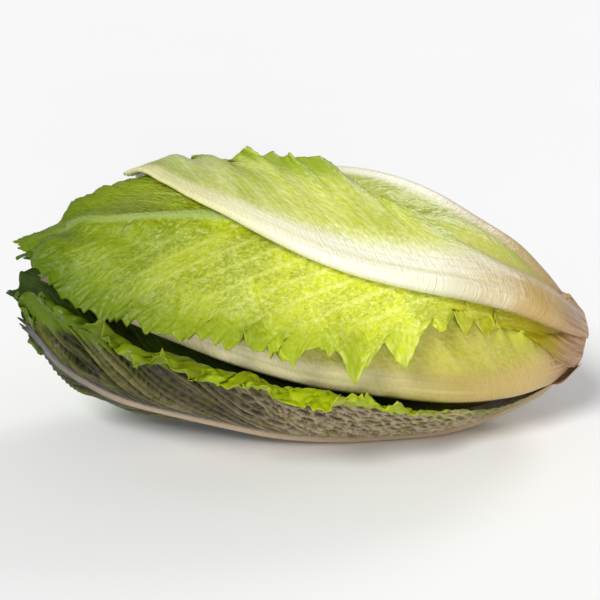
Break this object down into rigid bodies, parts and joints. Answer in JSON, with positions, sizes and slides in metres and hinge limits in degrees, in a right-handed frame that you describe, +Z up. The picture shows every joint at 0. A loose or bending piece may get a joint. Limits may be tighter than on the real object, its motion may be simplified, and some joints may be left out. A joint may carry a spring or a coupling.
{
  "type": "romaine lettuce head",
  "caption": "Whole romaine lettuce head lying on its side, with broad crisp ribs, ruffled leaf margins and a cut stem end.",
  "frame": {"origin": "centre of the bounding box's underside, on the surface that the head lies on", "axes": "+Z up; +X along the head towards its cut stem end; -Y is the side with the open folds, which the picture shows"},
  "size_m": [0.2481, 0.1454, 0.1228],
  "materials": {
    "stem": "moist cut stem flesh, pinkish brown where the cut has browned",
    "heart_leaf": "satin, pale yellow leaf tissue",
    "inner_leaf": "satin, light green leaf tissue",
    "shaded_leaf": "satin, dark green leaf tissue",
    "pale_leaf": "glossy waxy rib, satin pale green blade",
    "outer_leaf": "satin, mid green leaf tissue with paler veins",
    "bright_leaf": "glossy, puckered yellow-green leaf tissue",
    "underside_leaf": "matte underside with a raised net of veins, olive and tan"
  },
  "bodies": {
    "root": {"stem": "stem", "heart_leaf_1": "heart_leaf", "heart_leaf_2": "heart_leaf", "heart_leaf_3": "heart_leaf", "heart_leaf_4": "heart_leaf", "heart_leaf_5": "heart_leaf", "inner_leaf_1": "inner_leaf", "inner_leaf_2": "inner_leaf", "inner_leaf_3": "inner_leaf", "inner_leaf_4": "inner_leaf", "inner_leaf_5": "inner_leaf", "bottom_inner_leaf": "shaded_leaf", "front_lower_leaf": "pale_leaf", "back_lower_leaf": "outer_leaf", "back_upper_leaf": "outer_leaf", "upper_back_leaf": "pale_leaf", "front_broad_leaf": "bright_leaf", "upper_front_leaf": "pale_leaf", "bottom_leaf": "underside_leaf"}
  },
  "joints": []
}
